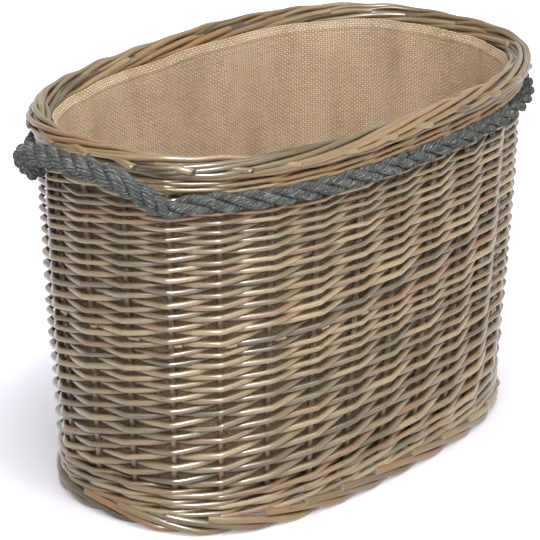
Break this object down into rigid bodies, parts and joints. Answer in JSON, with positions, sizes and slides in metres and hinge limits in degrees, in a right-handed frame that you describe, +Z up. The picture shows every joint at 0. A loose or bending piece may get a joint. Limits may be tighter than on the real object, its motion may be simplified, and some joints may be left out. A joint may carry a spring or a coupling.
{
  "type": "log basket",
  "caption": "Oval woven willow log basket with a rolled border, a plaited foot, a hessian liner and a rope round it that stands off as a handle at each end.",
  "frame": {"origin": "on the floor under the middle of the basket", "axes": "+Z up; X along the basket's length, from handle to handle; Y across it"},
  "size_m": [0.72, 0.4076, 0.427],
  "materials": {
    "weaver_willow": "satin grey-washed willow",
    "border_willow": "satin grey-washed stout willow",
    "stake_willow": "grey-washed willow",
    "base_willow": "matt grey-washed willow",
    "base_stick_willow": "grey-washed willow",
    "rope": "three-strand laid rope, grey-green",
    "hessian": "plain woven jute hessian"
  },
  "bodies": {
    "basket": {"stake_01": "stake_willow", "stake_02": "stake_willow", "stake_03": "stake_willow", "stake_04": "stake_willow", "stake_05": "stake_willow", "stake_06": "stake_willow", "stake_07": "stake_willow", "stake_08": "stake_willow", "stake_09": "stake_willow", "stake_10": "stake_willow", "stake_11": "stake_willow", "stake_12": "stake_willow", "stake_13": "stake_willow", "stake_14": "stake_willow", "stake_15": "stake_willow", "stake_16": "stake_willow", "stake_17": "stake_willow", "stake_18": "stake_willow", "stake_19": "stake_willow", "stake_20": "stake_willow", "stake_21": "stake_willow", "stake_22": "stake_willow", "stake_23": "stake_willow", "stake_24": "stake_willow", "stake_25": "stake_willow", "stake_26": "stake_willow", "stake_27": "stake_willow", "stake_28": "stake_willow", "long_base_stick_1": "base_stick_willow", "long_base_stick_2": "base_stick_willow", "long_base_stick_3": "base_stick_willow", "long_base_stick_4": "base_stick_willow", "long_base_stick_5": "base_stick_willow", "cross_base_stick_1": "base_stick_willow", "cross_base_stick_2": "base_stick_willow", "cross_base_stick_3": "base_stick_willow", "cross_base_stick_4": "base_stick_willow", "cross_base_stick_5": "base_stick_willow", "cross_base_stick_6": "base_stick_willow", "cross_base_stick_7": "base_stick_willow", "foot_border": "border_willow", "top_border": "border_willow", "top_wale": "border_willow", "upsett_wale": "weaver_willow", "lower_side_weave": "weaver_willow", "upper_side_weave": "weaver_willow", "left_end_packing": "weaver_willow", "right_end_packing": "weaver_willow", "base_weave": "base_willow", "liner_wall": "hessian", "liner_hem": "hessian", "liner_base": "hessian", "rope_back": "rope", "rope_front_left": "rope", "rope_front_right": "rope"},
    "left_handle": {"left_handle_rope": "rope"},
    "right_handle": {"right_handle_rope": "rope"}
  },
  "joints": [
    {"name": "left_handle_flex", "type": "hinge", "parent": "basket", "child": "left_handle", "pos_m": [-0.29917, 0, 0.3719], "axis": [0, 1, 0], "range_deg": [-100, 27], "stiffness_Nm_per_rad": 1},
    {"name": "right_handle_flex", "type": "hinge", "parent": "basket", "child": "right_handle", "pos_m": [0.29917, 0, 0.3719], "axis": [0, -1, 0], "range_deg": [-17, 110], "stiffness_Nm_per_rad": 1}
  ]
}
